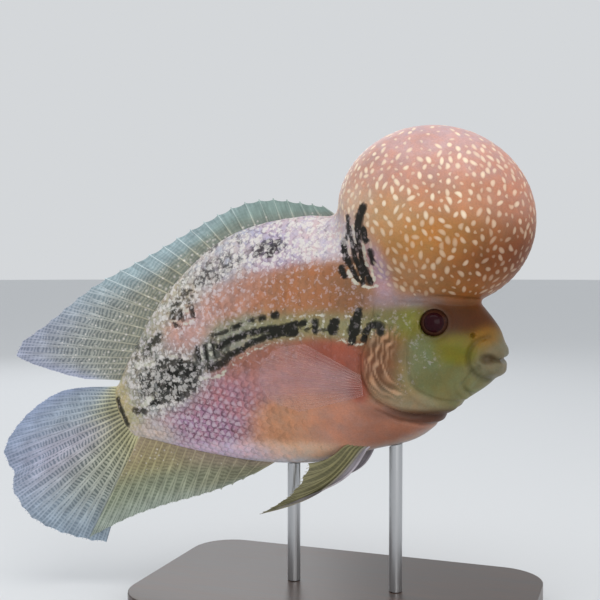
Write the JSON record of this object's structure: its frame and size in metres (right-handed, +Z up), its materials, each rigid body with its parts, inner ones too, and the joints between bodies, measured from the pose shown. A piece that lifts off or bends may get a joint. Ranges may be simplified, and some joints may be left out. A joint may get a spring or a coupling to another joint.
{
  "type": "flowerhorn cichlid display model",
  "caption": "Life-size still model of a flowerhorn cichlid with a large nuchal hump, held over a flat base by short rods.",
  "frame": {"origin": "centre of the stand base's underside, on the table", "axes": "+X towards the fish's snout, +Y to its left side, +Z up"},
  "size_m": [0.2711, 0.112, 0.235],
  "materials": {
    "flank_skin": "wet scaly skin, coral and mauve with black and cream markings",
    "face_skin": "smooth wet skin, olive yellow with pale lips",
    "hump_skin": "smooth wet skin, coral with cream flecks",
    "eye": "polished dark eye with a brown iris",
    "fin_membrane": "thin milky membrane over pale rays",
    "stained_wood": "dark stained, satin varnish",
    "steel_rod": "fine brushed"
  },
  "bodies": {
    "root": {"head": "face_skin", "nuchal_hump": "hump_skin", "torso": "flank_skin", "caudal_peduncle": "flank_skin", "eye_right": "eye", "eye_left": "eye", "dorsal_fin": "fin_membrane", "anal_fin": "fin_membrane", "caudal_fin": "fin_membrane", "pectoral_fin_right": "fin_membrane", "pectoral_fin_left": "fin_membrane", "pelvic_fin_right": "fin_membrane", "pelvic_fin_left": "fin_membrane", "stand_base": "stained_wood", "stand_rod_front": "steel_rod", "stand_rod_rear": "steel_rod"}
  },
  "joints": []
}
